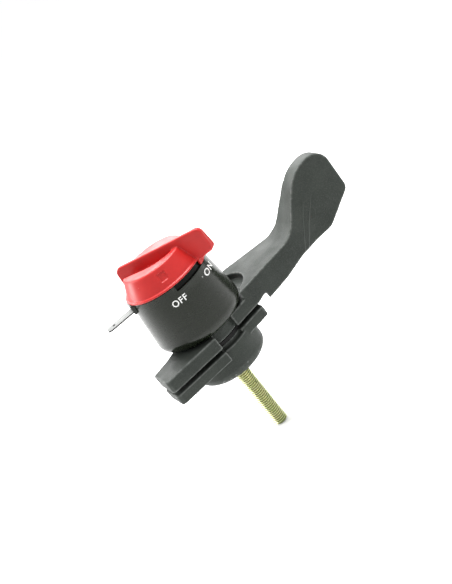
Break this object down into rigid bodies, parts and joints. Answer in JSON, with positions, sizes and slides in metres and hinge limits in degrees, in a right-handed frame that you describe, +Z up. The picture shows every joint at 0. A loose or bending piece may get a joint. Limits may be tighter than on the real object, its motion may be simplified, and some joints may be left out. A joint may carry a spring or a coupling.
{
  "type": "battery switch",
  "caption": "Rotary on-off battery switch with a grip knob on a round housing, carried on a swinging hand lever and clamped by a long threaded stud.",
  "frame": {"origin": "centre of the boss's flat bottom face, on the stud's axis", "axes": "+Z up the stud's axis towards the knob, +X along the lever, -Y the side the legends face"},
  "size_m": [0.1428, 0.0496, 0.1187],
  "materials": {
    "lever_plastic": "dark grey glass-filled plastic with a fine moulded grain, slightly green",
    "housing_plastic": "black moulded plastic, smooth and glossy",
    "knob_plastic": "bright red moulded plastic, semi-gloss",
    "yellow_zinc": "steel, zinc plated and yellow passivated",
    "spring_steel": "plain spring or bright screw steel",
    "bearing_plastic": "natural acetal, waxy and smooth",
    "carrier_plastic": "brown phenolic moulding",
    "seal_rubber": "black rubber",
    "tinned_brass": "brass strip, bright tin plated",
    "contact_copper": "bare copper",
    "contact_silver": "silver alloy contact tip"
  },
  "bodies": {
    "base_body": {"base_flange": "lever_plastic", "stud": "yellow_zinc", "clamp_nut": "yellow_zinc", "nut_washer": "yellow_zinc", "disc_springs": "spring_steel", "stop_pin": "spring_steel", "thrust_washer": "bearing_plastic", "seal_ring": "seal_rubber", "housing_washer": "bearing_plastic", "housing": "housing_plastic", "blade_terminal": "tinned_brass", "earth_strap": "tinned_brass", "fixed_contact_tips": "contact_silver", "contact_carrier": "carrier_plastic", "return_spring": "spring_steel", "top_cover": "housing_plastic", "cover_screws": "spring_steel", "spindle_seal": "seal_rubber", "detent_balls": "spring_steel", "detent_springs": "spring_steel"},
    "lever_body": {"lever": "lever_plastic", "lever_bush": "bearing_plastic"},
    "knob_body": {"knob": "knob_plastic", "rotor": "bearing_plastic", "rotor_screw": "spring_steel"},
    "plunger_body": {"plunger": "bearing_plastic", "contact_bridge": "contact_copper", "moving_contact_tips": "contact_silver", "bridge_rivets": "contact_copper"}
  },
  "joints": [
    {"name": "lever_swing", "type": "hinge", "parent": "base_body", "child": "lever_body", "pos_m": [0, 0, 0.02575], "axis": [0, 0, 1], "range_deg": [-90, 0]},
    {"name": "knob_turn", "type": "hinge", "parent": "base_body", "child": "knob_body", "pos_m": [0, 0, 0.063], "axis": [0, 0, 1], "range_deg": [-50, 0]},
    {"name": "contact_press", "type": "slide", "parent": "base_body", "child": "plunger_body", "axis": [0, 0, 1], "range_m": [0, 0.002], "deforming": ["return_spring"]}
  ],
  "couplings": [
    {"joint": "knob_turn", "follows": "contact_press", "rad_per_m": -436.33}
  ]
}
